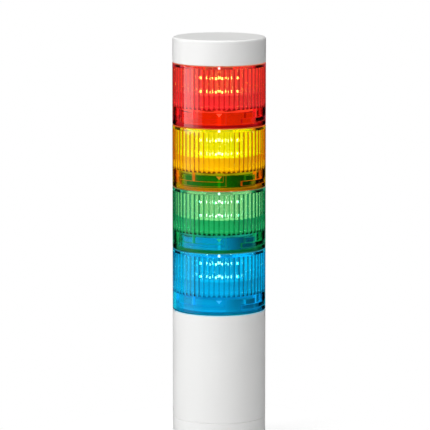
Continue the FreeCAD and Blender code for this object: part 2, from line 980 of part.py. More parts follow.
def make_inserts():
    """Brass inserts moulded into the cup, which take the mounting screws from below."""
    body = new_body("mounting_inserts")
    foot = cell("gasket_wall")
    barrel = circles(body, "barrel", "XY_Plane", [(bolt_radius, 0, cell("insert_radius"))], foot)
    bore = circles(body, "bore", "XY_Plane", [(bolt_radius, 0, cell("insert_bore"))], foot)
    pieces = [
        feature(body, "Pad", barrel, Length=cell("insert_length")),
        feature(body, "Pocket", bore, Length=cell("insert_length"), Reversed=True),
    ]
    around(body, pieces, cell("bolt_count"), "set")
    return body


def make_gasket():
    """The flat rubber gasket between the cup and whatever the tower stands on."""
    body = new_body("base_gasket")
    wall = cell("gasket_wall")
    rim = outer - cell("gasket_inset")
    inner = cell("grommet_foot") + cell("run_gap")
    turned(body, box_outline(body, "sheet", "XZ_Plane", (inner, rim), (0, wall)))
    hole = circles(body, "hole", "XY_Plane", [(bolt_radius, 0, cell("gasket_hole"))])
    cut = feature(body, "Pocket", hole, Length=wall, Reversed=True)
    around(body, [cut], cell("bolt_count"), "holes")
    return body


def make_grommet():
    """The rubber cable grommet snapped into the cup's floor."""
    body = new_body("cable_grommet")
    foot = cell("gasket_wall")
    bore = cell("cable_bore")
    low = foot - cell("grommet_drop")
    flange = cup_floor + cell("grommet_lip")
    high = foot + cell("grommet_rise")
    profile = outline(
        body,
        "section",
        "XZ_Plane",
        [
            (bore, low),
            (cell("grommet_foot"), low),
            (cell("grommet_foot"), foot),
            (cell("grommet_groove"), foot),
            (cell("grommet_groove"), cup_floor),
            (cell("grommet_flange"), cup_floor),
            (cell("grommet_flange"), flange),
            (cell("grommet_nose") + chip, flange),
            (cell("grommet_nose"), high),
            (bore, high),
        ],
    )
    turned(body, profile)
    return body


def make_control_board():
    """The control circuit board that stands in the casing's rails."""
    body = new_body("control_board")
    wall = (cell("board_face"), board_back)
    sketch = box_outline(body, "sheet", "XY_Plane", (-board_half, board_half), wall, board_base)
    feature(body, "Pad", sketch, Length=board_top - board_base)
    return body


def in_a_row(body, originals, name):
    """The same features repeated across the board, once for each way of the terminal block."""
    row = body.newObject("PartDesign::LinearPattern", f"{body.Name}_{name}")
    row.Originals = originals
    row.Direction = (origin_feature(body, "X_Axis"), [""])
    bind(row, "Length", terminal_pitch * (cell("contact_count") - 1))
    bind(row, "Occurrences", cell("contact_count"))
    body.Tip = row
    return row


def make_board_parts():
    """What stands on the control board: a driver chip, six transistors and two capacitors."""
    body = new_body("board_parts")
    back = -cell("board_face")
    chip_foot = terminal_top + cell("part_gap")
    small_foot = chip_foot + cell("chip_width") + cell("part_gap")
    can_foot = small_foot + cell("transistor_side") + cell("part_gap")
    can_place = board_half - cell("rail_reach") - cell("can_edge") - cell("can_radius")
    can_height = can_foot + cell("can_radius")
    pair = [(side * can_place, can_height, cell("can_radius")) for side in (-1, 1)]
    feature(body, "Pad", circles(body, "cans", "XZ_Plane", pair, back), Length=cell("can_height"))
    half = cell("chip_length") / 2
    driver = box_outline(
        body, "driver", "XZ_Plane", (-half, half), (chip_foot, chip_foot + cell("chip_width")), back
    )
    feature(body, "Pad", driver, Length=cell("chip_height"))
    half = cell("transistor_side") / 2
    span = (first_terminal - half, first_terminal + half)
    rise = (small_foot, small_foot + cell("transistor_side"))
    transistor = box_outline(body, "transistor", "XZ_Plane", span, rise, back)
    pad = feature(body, "Pad", transistor, Length=cell("transistor_height"))
    in_a_row(body, [pad], "row")
    return body


def make_board_socket():
    """The socket at the board's upper edge that the base's contact strips plug into."""
    body = new_body("board_socket")
    depth = (-hub_radius, cell("board_face"))
    block = box_outline(body, "block", "XY_Plane", (-hub_radius, hub_radius), depth, socket_foot)
    feature(body, "Pad", block, Length=cell("socket_height"))
    slot_half = cell("strip_wall") / 2 + seat_gap
    half = cell("strip_width") / 2 + seat_gap
    span = (cell("riser_radius") - slot_half, cell("riser_radius") + slot_half)
    slot = box_outline(body, "slot", "XY_Plane", span, (-half, half), socket_top)
    cut = feature(body, "Pocket", slot, Length=cell("socket_overlap"))
    around(body, [cut], cell("contact_count"), "slots")
    return body


def make_base_strips():
    """The base's own brass strips, from the socket up to the pads on its neck."""
    body = new_body("base_strips")
    half = cell("strip_wall") / 2
    foot = lens_roof - cell("socket_overlap") + gap
    tail = [(cell("riser_radius") - half, foot), (cell("riser_radius") + half, foot)]
    profile = outline(body, "strip", "XZ_Plane", tail + strip_head())
    strip = feature(body, "Pad", profile, Length=cell("strip_width"), Midplane=True)
    around(body, [strip, add_pad(body)], cell("contact_count"), "strips")
    return body


def make_terminal_block():
    """The terminal block on the board, with wire holes below and screw wells in front."""
    body = new_body("terminal_block")
    depth = (terminal_front, cell("board_face"))
    middle = (terminal_front + cell("board_face")) / 2
    block = box_outline(body, "block", "XY_Plane", (-terminal_half, terminal_half), depth, terminal_foot)
    feature(body, "Pad", block, Length=cell("terminal_height"))
    wire = [(first_terminal, middle, terminal_pitch / 2 - cell("wire_wall"))]
    screw = [(first_terminal, clamp_height, clamp_screw + seat_gap)]
    entry = circles(body, "wire", "XY_Plane", wire, terminal_foot)
    well = circles(body, "well", "XZ_Plane", screw, -terminal_front)
    cuts = [
        feature(body, "Pocket", entry, Length=cell("wire_depth"), Reversed=True),
        feature(body, "Pocket", well, Length=cell("well_depth")),
    ]
    in_a_row(body, cuts, "ways")
    return body


def make_terminal_screws():
    """The slotted clamp screws of the terminal block."""
    body = new_body("terminal_screws")
    back = -(terminal_front + cell("well_depth"))
    half = cell("recess_width") / 2
    span = (first_terminal - clamp_screw, first_terminal + clamp_screw)
    rise = (clamp_height - half, clamp_height + half)
    head = circles(body, "head", "XZ_Plane", [(first_terminal, clamp_height, clamp_screw)], back)
    slot = box_outline(body, "slot", "XZ_Plane", span, rise, back + cell("clamp_screw_length"))
    pieces = [
        feature(body, "Pad", head, Length=cell("clamp_screw_length")),
        feature(body, "Pocket", slot, Length=cell("recess_depth")),
    ]
    in_a_row(body, pieces, "set")
    return body


# ---------------------------------------------------------------------------------- assembly

TIERS = ["blue", "green", "amber", "red"]
exported = []


def place(shape_of, label, height=0):
    """A named sub-part: one moulding or pressing, set at its height on the tower."""
    part = doc.addObject("Part::Compound", label)
    part.Label = label
    part.Links = [shape_of]
    bind(part, ".Placement.Base.z", height)
    exported.append(part)
    return part


tier_pieces = [
    make_lens(),
    make_sleeve(),
    make_holder(),
    make_led_board(),
    make_leds(),
    make_contact_plate(),
    make_contacts(),
    make_seal(),
]
plate, seal = tier_pieces[5], tier_pieces[7]

for piece in (
    make_gasket(),
    make_base_cup(),
    make_inserts(),
    make_grommet(),
    make_base_screws(),
    make_base_body(),
    make_control_board(),
    make_board_parts(),
    make_terminal_block(),
    make_terminal_screws(),
    make_board_socket(),
):
    exported.append(piece)

place(make_base_strips(), "base_contacts", base_lift)
place(plate, "base_contact_plate", base_lift)
place(seal, "base_seal", base_lift)

for level, colour in enumerate(TIERS):
    for piece in tier_pieces:
        place(piece, f"{colour}_{piece.Name}", cell("base_height") + level * pitch)

place(make_cap(), "cap", cell("base_height") + len(TIERS) * pitch)

doc.recompute()

# ------------------------------------------------------------------------------------ export

for obj in doc.Objects:
    if "Invalid" in obj.State or "Error" in obj.State:
        raise RuntimeError(f"{obj.Name} failed: {obj.State}")

os.makedirs("parts", exist_ok=True)
for part in exported:
    shape = part.Shape
    if shape.isNull() or not shape.isValid() or not shape.Solids:
        raise RuntimeError(f"{part.Label} has no valid solid")
    shape.exportStep(f"parts/{part.Label}.step")
    print(f"{part.Label}: {len(shape.Solids)} solids, {shape.Volume / 1000:.2f} cm3")
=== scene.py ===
# %% [markdown]
# # A stack light, lit for a catalogue page
#
# A stack light stands on a machine and shows its state from across the hall. This one has a white
# casing, four clear coloured tiers and a white cap, all flush at one diameter. The mechanical
# model is already packed as a frame: named nodes that ride on named bodies, in metres, with +Z up
# and the front facing -Y. This lesson adds what the mechanical model lacks: the finish of every
# surface, the prisms inside the tiers at the smoothness that light needs, lamps, and a studio.

# %% Load the frame
import math

import bmesh
import bpy
from mathutils import Matrix, Vector


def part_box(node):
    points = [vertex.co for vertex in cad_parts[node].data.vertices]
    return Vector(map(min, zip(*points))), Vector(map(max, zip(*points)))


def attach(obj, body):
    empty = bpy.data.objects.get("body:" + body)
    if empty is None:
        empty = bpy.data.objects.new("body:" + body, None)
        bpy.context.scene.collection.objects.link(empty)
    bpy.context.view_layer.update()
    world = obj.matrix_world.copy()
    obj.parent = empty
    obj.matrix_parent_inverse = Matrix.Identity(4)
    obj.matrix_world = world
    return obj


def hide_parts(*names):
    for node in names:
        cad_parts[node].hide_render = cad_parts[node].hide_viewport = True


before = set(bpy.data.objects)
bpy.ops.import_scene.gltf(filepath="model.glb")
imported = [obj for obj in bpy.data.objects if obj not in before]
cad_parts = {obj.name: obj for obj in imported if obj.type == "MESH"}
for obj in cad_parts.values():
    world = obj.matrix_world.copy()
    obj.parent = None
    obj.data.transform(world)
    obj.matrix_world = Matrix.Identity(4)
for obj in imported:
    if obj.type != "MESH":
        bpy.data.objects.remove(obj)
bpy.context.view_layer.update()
scene = bpy.context.scene
scene.view_settings.view_transform = "Standard"
MM = 0.001
TIERS = ("blue", "green", "amber", "red")

# %% [markdown]
# ## Sizes that the pieces share
#
# The frame gives the heights and the radius, so a change in the mechanical model moves the looks
# with it. A tier's lens is its own best ruler: its box gives the radius and the height of the neck,
# and the seal and holder inside it give the heights of the shoulder and the floor.

# %% Measure one tier
def low(node):
    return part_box(node)[0]


def high(node):
    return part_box(node)[1]


outer = high("blue_lens").x
pitch = low("green_lens").z - low("blue_lens").z
tier_foot = {tier: low(f"{tier}_seal").z - pitch for tier in TIERS}
rim_gap = low("blue_lens").z - tier_foot["blue"]
neck_top = high("blue_lens").z - tier_foot["blue"]
floor_foot = low("blue_holder").z - tier_foot["blue"]
print(f"radius {outer / MM:.1f} mm, pitch {pitch / MM:.1f} mm, rim gap {rim_gap / MM:.2f} mm")

# %% [markdown]
# ## Small helpers
#
# Colours are written as sRGB hex values, as a paint chart gives them, and turned to linear light
# once. Node trees are built by one function that adds a node, sets its values and links its inputs.

# %% Colour and node helpers
def linear(hex_colour):
    """An sRGB hex colour as linear RGBA."""
    parts = [int(hex_colour[i : i + 2], 16) / 255 for i in (1, 3, 5)]
    curved = [c / 12.92 if c <= 0.04045 else ((c + 0.055) / 1.055) ** 2.4 for c in parts]
    return (*curved, 1.0)


def add(tree, kind, settings=None, **inputs):
    """Adds a node, sets its properties, and sets or links its inputs by name (spaces as _)."""
    made = tree.nodes.new(kind)
    for key, value in (settings or {}).items():
        setattr(made, key, value)
    for key, value in inputs.items():
        place = int(key[1:]) if key[0] == "i" and key[1:].isdigit() else key.replace("_", " ")
        socket = made.inputs[place]
        if isinstance(value, bpy.types.NodeSocket):
            tree.links.new(value, socket)
        else:
            socket.default_value = value
    return made


def math_node(tree, operation, *terms):
    """The result of one sum on numbers or sockets."""
    inputs = {f"i{n}": term for n, term in enumerate(terms)}
    return add(tree, "ShaderNodeMath", {"operation": operation}, **inputs).outputs[0]


def blank_material(name):
    """A material with an empty tree and its output node."""
    material = bpy.data.materials.new(name)
    material.use_nodes = True
    material.node_tree.nodes.clear()
    return material, material.node_tree, material.node_tree.nodes.new("ShaderNodeOutputMaterial")


def dress(name, material):
    """Gives a CAD node its finish."""
    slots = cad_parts[name].material_slots
    for slot in slots:
        slot.material = material
    if not slots:
        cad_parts[name].data.materials.append(material)


print("mid grey in linear light:", round(linear("#808080")[0], 3))

# %% [markdown]
# ## Injection-moulded ABS, satin white
#
# The casing and cap are ABS from a finely etched mould. That gives a soft, wide highlight with no
# mirror image, and under close light a barely uneven skin. The base colour carries a one percent
# cloud over 30 mm, and the bump is the etched grain, drawn at 0.5 mm so that it shows at all.
# The other moulded plastics differ only in colour, gloss and grain. Some of them sit in a lit
# tier, where light soaks into them. A path tracer would need very long to find that light, so
# they take it as a glow, which may fall off on the side that faces away from the softbox.

# %% Moulded plastic
CLOUD_WIDTH = 30 * MM
BUMP = 0.35
PLASTIC_IOR = 1.52
GLOSS_SWING = 0.08  # how much the roughness varies with the clouds
SOFT_SIDE = (-0.8, -0.6, 0.0)  # towards the softbox
SOFT_FACING, FAR_GLOW = 0.7, 0.15  # facing that gets the full glow, and the share left at the side
ABS_WHITE, ABS_SATIN = "#EFEFEE", 0.36


def side_share(tree):
    """A share of glow that is full towards the softbox and small on the far side."""
    normal = add(tree, "ShaderNodeNewGeometry").outputs["Normal"]
    facing = add(
        tree, "ShaderNodeVectorMath", {"operation": "DOT_PRODUCT"}, i0=normal, i1=SOFT_SIDE
    ).outputs["Value"]
    return add(
        tree, "ShaderNodeMapRange", Value=facing, From_Max=SOFT_FACING, To_Min=FAR_GLOW
    ).outputs[0]


def moulded_plastic(
    name,
    colour,
    roughness,
    grain_mm=0.5,
    depth_mm=0.004,
    cloud=0.012,
    glow=None,
    turned=False,
    above=None,
):
    """Plastic with a cloudy colour and an etched grain.

    Glow is the light that soaks through it. Turned lets it fall off on the side away from the
    softbox, and above keeps it to what stands over a height.
    """
    material, tree, out = blank_material(name)
    place = add(tree, "ShaderNodeTexCoord").outputs["Object"]
    clouds = add(
        tree, "ShaderNodeTexNoise", Vector=place, Scale=1 / CLOUD_WIDTH, Detail=2.0
    ).outputs["Fac"]
    base = linear(colour)
    dark = tuple(c * (1 - 2 * cloud) for c in base[:3]) + (1.0,)
    shade = add(tree, "ShaderNodeMix", {"data_type": "RGBA"}, Factor=clouds, i6=dark, i7=base)
    grain = add(
        tree, "ShaderNodeTexNoise", Vector=place, Scale=1 / (grain_mm * MM), Detail=3.0
    ).outputs["Fac"]
    bump = add(tree, "ShaderNodeBump", Strength=BUMP, Distance=depth_mm * MM, Height=grain)
    shader = add(
        tree,
        "ShaderNodeBsdfPrincipled",
        Base_Color=shade.outputs[2],
        Roughness=math_node(
            tree, "MULTIPLY_ADD", clouds, GLOSS_SWING, roughness - GLOSS_SWING / 2
        ),
        IOR=PLASTIC_IOR,
        Normal=bump.outputs[0],
    )
    if glow:
        shader.inputs["Emission Color"].default_value = (*glow, 1.0)
        shader.inputs["Emission Strength"].default_value = 1.0
    if turned:
        share = side_share(tree)
        if above is not None:
            height = add(tree, "ShaderNodeSeparateXYZ", Vector=place).outputs["Z"]
            over = math_node(tree, "GREATER_THAN", height, above)
            share = math_node(tree, "MULTIPLY", share, over)
        tree.links.new(share, shader.inputs["Emission Strength"])
    tree.links.new(shader.outputs[0], out.inputs["Surface"])
    return material


white_abs = moulded_plastic("abs_moulded_white", ABS_WHITE, ABS_SATIN)
for name in ("base_cup", "cap"):
    dress(name, white_abs)
print("cup and cap dressed:", white_abs.name)

# %% [markdown]
# ## Pieces behind the lenses and in the casing
#
# The folded board carries a white solder mask, so that it throws the lamps' light outwards. The
# seals between tiers are pale silicone, and the gasket and the cable grommet are nitrile rubber,
# which is nearly matt. In the casing the control board has the usual satin green mask, its parts
# are cast in dull black epoxy, its socket is moulded in black nylon and the terminal block in
# green. Most of this shows only as tone through the coloured walls, or not at all.

# %% Inner plastics and rubber
board_white = moulded_plastic("fr4_board_white_mask", "#E9ECE8", 0.35, grain_mm=0.8)
board_green = moulded_plastic("fr4_board_green_mask", "#0F5B35", 0.30, grain_mm=0.8, cloud=0.05)
nylon_black = moulded_plastic("nylon_moulded_black", "#17181A", 0.55, grain_mm=0.4, cloud=0.05)
silicone = moulded_plastic("silicone_moulded_pale", "#DADDDD", 0.4, grain_mm=0.3)
terminal_green = moulded_plastic("nylon_moulded_green", "#1F7A45", 0.45, cloud=0.03)
epoxy_black = moulded_plastic("epoxy_cast_black", "#1D1D20", 0.5, cloud=0.05)
rubber_black = moulded_plastic("nitrile_rubber_moulded", "#1A1A1B", 0.75, grain_mm=0.3, cloud=0.06)
print("inner plastics made")

# %% [markdown]
# ## Brass and zinc-plated steel
#
# The contact strips are stamped from rolled brass, the inserts are turned brass, and the screws
# are zinc-plated steel. Rolling and turning leave fine lines across the part, about 0.2 mm apart,
# and the eye reads them as a highlight that is drawn out along them.

# %% Metals
LINE_STRETCH = 12.0  # how much longer a line is than it is wide
LINE_SWING = 0.2  # how much the roughness varies from line to line
LINE_DULL = 0.85  # colour of the duller lines, as a share of the bright ones


def stamped_metal(name, colour, roughness, line_mm=0.2):
    """Rolled or turned metal with fine lines across its height."""
    material, tree, out = blank_material(name)
    place = add(tree, "ShaderNodeTexCoord").outputs["Object"]
    stretched = add(tree, "ShaderNodeMapping", Vector=place, Scale=(1.0, 1.0, LINE_STRETCH))
    lines = add(
        tree,
        "ShaderNodeTexNoise",
        Vector=stretched.outputs[0],
        Scale=1 / (line_mm * LINE_STRETCH * MM),
    ).outputs["Fac"]
    bright = linear(colour)
    dull = tuple(c * LINE_DULL for c in bright[:3]) + (1.0,)
    tint = add(tree, "ShaderNodeMix", {"data_type": "RGBA"}, Factor=lines, i6=dull, i7=bright)
    shader = add(
        tree,
        "ShaderNodeBsdfPrincipled",
        Base_Color=tint.outputs[2],
        Metallic=1.0,
        Roughness=math_node(tree, "MULTIPLY_ADD", lines, LINE_SWING, roughness - LINE_SWING / 2),
    )
    tree.links.new(shader.outputs[0], out.inputs["Surface"])
    return material


brass_stamped = stamped_metal("brass_stamped", "#C9A45A", 0.30)
brass_turned = stamped_metal("brass_turned", "#C6A052", 0.35)
zinc_steel = stamped_metal("steel_zinc_plated", "#B9B9B4", 0.35)
print("metals made")

# %% Dress the inner pieces
INNER_FINISHES = {
    "base_gasket": rubber_black,
    "cable_grommet": rubber_black,
    "base_seal": silicone,
    "mounting_inserts": brass_turned,
    "base_screws": zinc_steel,
    "terminal_screws": zinc_steel,
    "base_contacts": brass_stamped,
    "control_board": board_green,
    "board_parts": epoxy_black,
    "terminal_block": terminal_green,
    "board_socket": nylon_black,
}
for tier in TIERS:
    INNER_FINISHES[f"{tier}_led_board"] = board_white
    INNER_FINISHES[f"{tier}_contacts"] = brass_stamped
    INNER_FINISHES[f"{tier}_seal"] = silicone
for name, finish in INNER_FINISHES.items():
    dress(name, finish)
print(len(INNER_FINISHES), "inner nodes dressed")

# %% [markdown]
# ## The lens as a shape
#
# A tier's globe is one moulding: a clear skirt with four hooked ledges inside, a barrel lined
# with 56 upright half-round prisms, a shoulder, and a neck with four lugs. Glass shows every facet
# of a coarse mesh, so the lens is swept again here, ring by ring. All rings share one list of
# angles, and each ring says how far out it stands at each angle. Where a ledge or a lug ends, the
# angle is listed twice, so the wall can step there.

# %% Radii and heights of the lens
RIBS, STEPS = 56, 10  # prisms round the barrel, and angles to a prism
NECK = 25.6 * MM  # radius of the neck that the next piece hangs on
WALL, NECK_WALL, ROOF_WALL, PLAY = 2.0 * MM, 1.8 * MM, 2.2 * MM, 0.35 * MM
RIB_REACH, RIB_SHARE = 0.5 * MM, 0.92  # how far a prism stands in, and its share of the pitch
RUN_OUT = 0.9 * MM  # height of a prism's foot
KEY_HALF, KEY_REACH = 0.7 * MM, 1.2 * MM  # half the width of the index key, and how far it reaches
LEDGE = (3.2 * MM, 6.2 * MM)  # foot and top over the tier's foot
LUG = (6.5 * MM, 9.7 * MM)  # foot and top over the shoulder
SKIN = 0.01 * MM  # wall left behind a valley, so that two faces never lie in one place

socket = outer - WALL
neck_bore = NECK - NECK_WALL
roof = pitch - ROOF_WALL
lug_tip = socket - PLAY
ledge_tip = NECK + PLAY
rib_tip = socket - RIB_REACH
rib_half = RIB_SHARE * math.pi * socket / RIBS
rib_radius = (rib_half**2 + RIB_REACH**2) / (2 * RIB_REACH)
key_tip = neck_bore - KEY_REACH
key_edge = math.degrees(math.asin(KEY_HALF / neck_bore))
print(f"prism radius {rib_radius / MM:.2f} mm, key {2 * key_edge:.1f} degrees wide")

# %% Angles that all rings share
SECTORS = {  # start and end in degrees from +X, before they repeat every quarter turn
    "lug": (37.0, 53.0),
    "ledge": (31.0, 99.0),
    "stop": (53.5, 55.0),
    "wall": (95.5, 99.0),
}
FRONT = 270.0
BESIDE_STEP = 0.12  # degrees on either side of a step that hold no other angle
TIE = 1e-6  # degrees that tell the two sides of a step apart


def lens_angles():
    """(angle, side of the step there) round the lens: an even fan, with every step twice."""
    fan = [(360 * n / (RIBS * STEPS), 0) for n in range(RIBS * STEPS)]
    steps = [
        (edge + 90 * quarter) % 360
        for quarter in range(4)
        for ends in SECTORS.values()
        for edge in ends
    ]
    for step in steps + [FRONT - key_edge, FRONT + key_edge]:
        fan = [f for f in fan if abs(f[0] - step) > BESIDE_STEP]
        fan += [(step, -1), (step, 1)]
    return sorted(set(fan))


ANGLES = lens_angles()
print(len(ANGLES), "angles round the lens")

# %% How far out the wall stands at an angle
def inside(angle, side, name):
    """True if an angle lies in a repeated sector; side breaks the tie on its edge."""
    start, end = SECTORS[name]
    return (angle - start + side * TIE) % 90 < end - start


def stepped(names, proud, plain):
    """One radius within the named sectors and another outside them."""
    return [proud if any(inside(a, side, n) for n in names) else plain for a, side in ANGLES]


def even(radius):
    return [radius] * len(ANGLES)


def keyed():
    """The neck's bore, with the index key at the front."""
    return [key_tip if abs(a + side * TIE - FRONT) < key_edge else neck_bore for a, side in ANGLES]


def rib_wall(angle):
    """The prism-lined wall. A valley faces front."""
    off = math.radians(angle % (360 / RIBS) - 180 / RIBS)
    centre = rib_tip + rib_radius
    across = rib_radius**2 - (centre * math.sin(off)) ** 2
    if across <= 0:
        return socket - SKIN
    return min(centre * math.cos(off) - math.sqrt(across), socket - SKIN)


walls = [rib_wall(a) for a, side in ANGLES]
print(f"prisms reach from {max(walls) / MM:.2f} to {min(walls) / MM:.2f} mm")

# %% Rings of the lens, from the skirt's inner rim round and back
LIP = 0.4 * MM  # rounding of the outer edges
KNEE = 0.12 * MM  # where a rounded edge has turned by 45 degrees
HOLD = 0.06 * MM  # a narrow ring beside each rounded edge keeps the flats' shading flat


def lens_rings(foot):
    """(radius at each angle, height) for every ring, in order round the wall's section."""
    ledge_foot, ledge_top = LEDGE
    lug_foot, lug_top = [pitch + height for height in LUG]
    ledges = stepped(["ledge"], ledge_tip, socket)
    stops = stepped(["stop", "wall"], ledge_tip, socket)
    lugs = stepped(["lug"], lug_tip, NECK)
    bore = keyed()
    rings = [
        (even(socket), rim_gap + LIP),
        (even(socket), ledge_foot),
        (ledges, ledge_foot),
        (ledges, ledge_top),
        (stops, ledge_top),
        (stops, floor_foot),
        (walls, floor_foot),
        (walls, floor_foot + RUN_OUT),
        (walls, roof),
        (bore, roof),
        (bore, neck_top),
        (even(NECK - LIP), neck_top),
        (even(NECK), lug_top),
        (lugs, lug_top),
        (lugs, lug_foot),
        (even(NECK), lug_foot),
        (even(NECK), pitch),
        (even(outer - LIP - HOLD), pitch),
        (even(outer - LIP), pitch),
        (even(outer - KNEE), pitch - KNEE),
        (even(outer), pitch - LIP),
        (even(outer), pitch - LIP - HOLD),
        (even(outer), rim_gap + LIP + HOLD),
        (even(outer), rim_gap + LIP),
        (even(outer - KNEE), rim_gap + KNEE),
        (even(outer - LIP), rim_gap),
        (even(socket + LIP), rim_gap),
    ]
    return [(radii, foot + height) for radii, height in rings]


print(len(lens_rings(0.0)), "rings to a lens")

# %% Sweep the rings into a mesh
WELD = 0.002 * MM  # points closer than this are one
CREASE = 32.0  # degrees between faces from which an edge stays sharp


def sweep(name, rings):
    """A closed mesh through rings that share ANGLES, smooth except at real edges."""
    mesh = bpy.data.meshes.new(name)
    form = bmesh.new()
    turns = [(math.cos(math.radians(a)), math.sin(math.radians(a))) for a, side in ANGLES]
    grid = [
        [form.verts.new((r * c, r * s, z)) for r, (c, s) in zip(radii, turns)] for radii, z in rings
    ]
    for row, above in zip(grid, grid[1:] + grid[:1]):
        for n in range(len(turns)):
            m = (n + 1) % len(turns)
            form.faces.new((row[n], row[m], above[m], above[n]))
    bmesh.ops.remove_doubles(form, verts=form.verts, dist=WELD)
    bmesh.ops.dissolve_degenerate(form, edges=form.edges, dist=WELD)
    bmesh.ops.recalc_face_normals(form, faces=form.faces)
    form.to_mesh(mesh)
    form.free()
    mesh.shade_smooth()
    mesh.set_sharp_from_angle(angle=math.radians(CREASE))
    piece = bpy.data.objects.new(name, mesh)
    scene.collection.objects.link(piece)
    return piece


# %% [markdown]
# ## Polycarbonate, tinted and polished
#
# The lens bends light at both faces and tints what passes. Six finishes share one recipe: the
# plain wall, the prisms, which scatter a little of the lamps' light, the grooves between them,
# darkened with painted shade, the feet of the prisms, painted darkest as shade, the ends of the
# wall, where light that ran along it comes out, and the raised dot, which glows as a painted
# highlight. Lamps can't reach through refracting walls in a path tracer, so the wall lets shadow
# rays pass with the tint alone.

# %% What each tier lets through
TINTS = {  # linear colour that a wall lets through, and the darker colour painted into a groove as shade
    "red": ((0.97, 0.06, 0.10), (0.56, 0.001, 0.004)),
    "amber": ((0.95, 0.67, 0.01), (0.87, 0.42, 0.0)),
    "green": ((0.05, 0.63, 0.32), (0.001, 0.26, 0.07)),
    "blue": ((0.005, 0.67, 0.92), (0.0, 0.27, 0.50)),
}
DARK_FEET = ("amber", "green")  # tiers whose prisms get a deep painted shade where they run out
EDGES = {  # linear colour of the light that has run along the wall and leaves at its ends
    "red": (1.0, 0.30, 0.12),
    "amber": (1.0, 0.16, 0.02),
    "green": (0.05, 0.60, 0.30),
    "blue": (0.10, 0.60, 1.0),
}
# Painted light: END_GLOW is the glow of the wall's ends, and DOT_GLOW a painted highlight on the
# dot.
END_GLOW, DOT_GLOW = 0.3, 0.9
PRISM_GLOW = {"red": 0.20, "amber": 0.18, "green": 0.10, "blue": 0.10}
CLEAR = (0.97, 0.97, 0.97)
POLYCARBONATE, ACRYLIC, SILICONE = 1.585, 1.49, 1.41  # index of refraction


def painted_foot_shade(tier):
    """The painted shade at the foot of a prism, deepest in the tiers of DARK_FEET."""
    groove_shade = TINTS[tier][1]
    return tuple(0.3 * part**3 for part in groove_shade) if tier in DARK_FEET else groove_shade


print("dark feet in:", ", ".join(DARK_FEET))

# %% A refracting wall
def clear_material(name, tint, ior, roughness, glow=0.0, glow_colour=(1.0, 1.0, 1.0)):
    """A refracting wall. Shadow rays pass straight through it, dimmed by the same tint."""
    material, tree, out = blank_material(name)
    glass = add(
        tree,
        "ShaderNodeBsdfPrincipled",
        Base_Color=(*tint, 1.0),
        Transmission_Weight=1.0,
        Roughness=roughness,
        IOR=ior,
        Emission_Color=(*glow_colour, 1.0),
        Emission_Strength=glow,
    )
    face = tuple(math.sqrt(t) for t in tint)  # a wall has two faces, and each takes its half
    straight = add(tree, "ShaderNodeBsdfTransparent", Color=(*face, 1.0))
    shadow = add(tree, "ShaderNodeLightPath").outputs["Is Shadow Ray"]
    mixed = add(
        tree, "ShaderNodeMixShader", i0=shadow, i1=glass.outputs[0], i2=straight.outputs[0]
    )
    tree.links.new(mixed.outputs[0], out.inputs["Surface"])
    return material


def lens_finishes(tier):
    """The lens's six materials, in the order of the slots below."""
    tint, groove_shade = TINTS[tier]
    looks = {
        "moulded": (tint, 0.0),
        "lit": (tint, 0.3, END_GLOW, EDGES[tier]),
        "prisms": (tint, 0.0, PRISM_GLOW[tier], EDGES[tier]),
        "dot": (tint, 0.2, DOT_GLOW, CLEAR),
        "groove": (groove_shade, 0.0),
        "rib_foot": (painted_foot_shade(tier), 0.0),
    }
    return [
        clear_material(f"polycarbonate_{look}_{tier}", colour, POLYCARBONATE, *rest)
        for look, (colour, *rest) in looks.items()
    ]


PLAIN, LIT, PRISMS, DOT, SHADED_GROOVE, SHADED_RIB_FOOT = range(6)
print("six finishes to a lens")

# %% [markdown]
# ## Raised marks and lit edges
#
# A raised dot under the shoulder and a raised arrow on the skirt show a fitter where two tiers
# line up. They are low blocks on the front of the wall, and each reaches a little way into it, as
# a moulded mark does. The dot glows white as a painted highlight, and the arrow takes the lit
# edges' painted glow. Which finish a face of the lens gets follows from where it lies: the ends
# of the rim, hooks, lugs and key are lit edges, a face between two prisms is a groove with painted
# shade, and the feet of the prisms take a darker painted shade.

# %% Raised marks
MARK_RAISE, MARK_ROOT = 0.25 * MM, 0.1 * MM
DOT_RADIUS, DOT_CORNERS, DOT_DROP = 0.8 * MM, 16, 0.2 * MM
ARROW_WIDTH, ARROW_HEIGHT, ARROW_PLACE = 3.6 * MM, 2.2 * MM, 9.0 * MM


def raise_mark(form, outline, slot_index):
    """A closed low block on the front of the wall, from its outline as (x, height)."""
    depths = (-outer + MARK_ROOT, -outer - MARK_RAISE)
    back, front = [[form.verts.new((x, y, z)) for x, z in outline] for y in depths]
    faces = [form.faces.new(back), form.faces.new(list(reversed(front)))]
    for n in range(len(outline)):
        m = (n + 1) % len(outline)
        faces.append(form.faces.new((back[m], back[n], front[n], front[m])))
    for face in faces:
        face.material_index = slot_index


def dot_outline(foot):
    middle = foot + pitch - DOT_DROP - DOT_RADIUS
    turns = [2 * math.pi * n / DOT_CORNERS for n in range(DOT_CORNERS)]
    return [(DOT_RADIUS * math.cos(t), middle + DOT_RADIUS * math.sin(t)) for t in turns]


def arrow_outline(foot):
    middle, half = foot + ARROW_PLACE, ARROW_HEIGHT / 2
    return [(ARROW_WIDTH / 2, middle + half), (0, middle - half), (-ARROW_WIDTH / 2, middle + half)]


def add_marks(piece, foot):
    """The dot under the shoulder and the arrow on the skirt that line two tiers up."""
    form = bmesh.new()
    form.from_mesh(piece.data)
    # The dot takes a painted highlight, and the arrow the lit edges' painted glow.
    raise_mark(form, dot_outline(foot), DOT)
    raise_mark(form, arrow_outline(foot), LIT)
    form.to_mesh(piece.data)
    form.free()


print(f"marks stand {MARK_RAISE / MM} mm proud")

